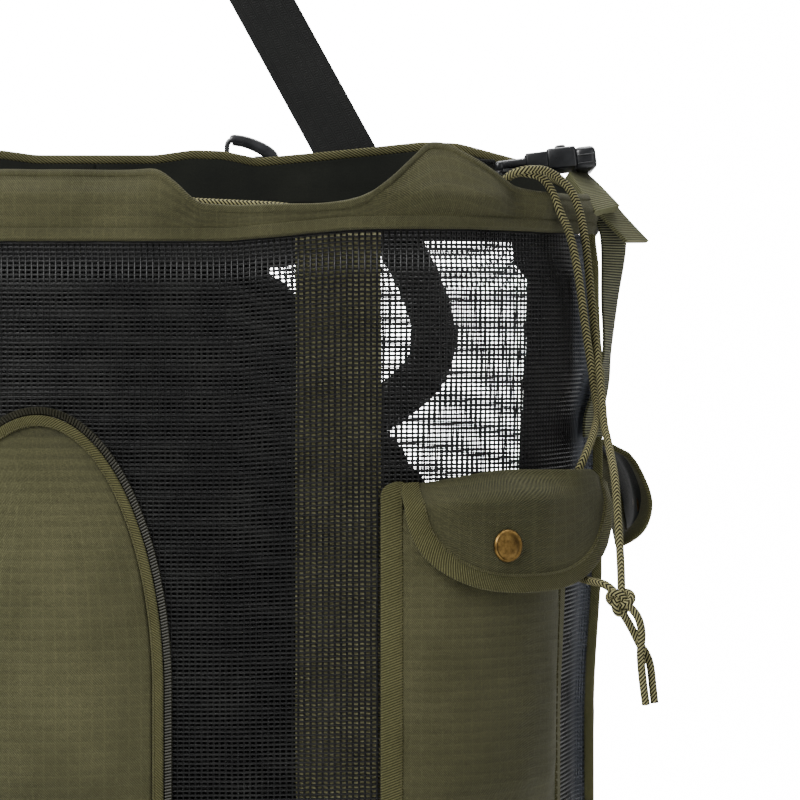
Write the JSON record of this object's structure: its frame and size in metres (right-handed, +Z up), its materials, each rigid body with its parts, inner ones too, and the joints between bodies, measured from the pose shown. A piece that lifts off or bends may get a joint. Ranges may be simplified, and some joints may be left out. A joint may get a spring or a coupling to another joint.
{
  "type": "foraging backpack",
  "caption": "Structured mesh foraging backpack with a drawcord collar, snap-flap pockets, side buckles and a webbing strap that it hangs from.",
  "frame": {"origin": "the hanging point, under the top of the wide webbing strap", "axes": "+Z up, front of the bag towards -Y, +X to the right as seen from the front"},
  "size_m": [0.5868, 0.2449, 0.6867],
  "materials": {
    "olive_canvas": "ripstop canvas",
    "olive_twill": "herringbone twill tape",
    "olive_webbing": "ribbed webbing",
    "charcoal_webbing": "ribbed webbing",
    "black_webbing": "flat webbing",
    "black_padding": "padded spacer cloth",
    "coated_net": "coated open mesh",
    "braided_cord": "braided cord with dark flecks",
    "zip_coil": "zip coil and tape",
    "black_plastic": "moulded, slight sheen",
    "aged_brass": "antique brass"
  },
  "bodies": {
    "root": {"base_tray": "olive_canvas", "front_net": "coated_net", "side_net_right": "coated_net", "side_net_left": "coated_net", "back_net": "coated_net", "back_pad": "black_padding", "corner_band_right": "black_webbing", "corner_band_left": "black_webbing", "collar": "olive_canvas", "collar_binding": "olive_twill", "seam_binding_right": "olive_twill", "seam_binding_left": "olive_twill", "web_strip_right": "olive_webbing", "web_strip_left": "olive_webbing", "arch_pocket_panel": "olive_canvas", "arch_pocket_binding": "olive_twill", "arch_zipper": "zip_coil", "arch_zip_slider": "black_plastic", "corner_pocket_right": "olive_canvas", "corner_pocket_left": "olive_canvas", "corner_pocket_binding_right": "olive_twill", "corner_pocket_binding_left": "olive_twill", "corner_flap_right": "olive_canvas", "corner_flap_left": "olive_canvas", "corner_flap_binding_right": "olive_twill", "corner_flap_binding_left": "olive_twill", "corner_snap_right": "aged_brass", "corner_snap_left": "aged_brass", "side_pocket_right": "olive_canvas", "side_pocket_left": "olive_canvas", "side_pocket_binding_right": "olive_twill", "side_pocket_binding_left": "olive_twill", "side_flap_right": "olive_canvas", "side_flap_left": "olive_canvas", "side_flap_binding_right": "olive_twill", "side_flap_binding_left": "olive_twill", "side_snap_right": "aged_brass", "side_snap_left": "aged_brass", "buckle_right": "black_plastic", "buckle_left": "black_plastic", "buckle_tab_right": "charcoal_webbing", "buckle_tab_left": "charcoal_webbing", "side_strap_right": "olive_webbing", "side_strap_left": "olive_webbing", "strap_tail_right": "olive_webbing", "strap_tail_left": "olive_webbing", "cord_strand_a": "braided_cord", "cord_strand_b": "braided_cord", "cord_tail_a": "braided_cord", "cord_tail_b": "braided_cord", "cord_knot": "braided_cord", "cord_span": "braided_cord", "drawcord_eyelet": "aged_brass", "hang_strap": "charcoal_webbing", "shoulder_strap_right": "charcoal_webbing", "shoulder_strap_left": "charcoal_webbing", "snap_ring": "black_plastic", "snap_ring_tab": "charcoal_webbing"}
  },
  "joints": []
}
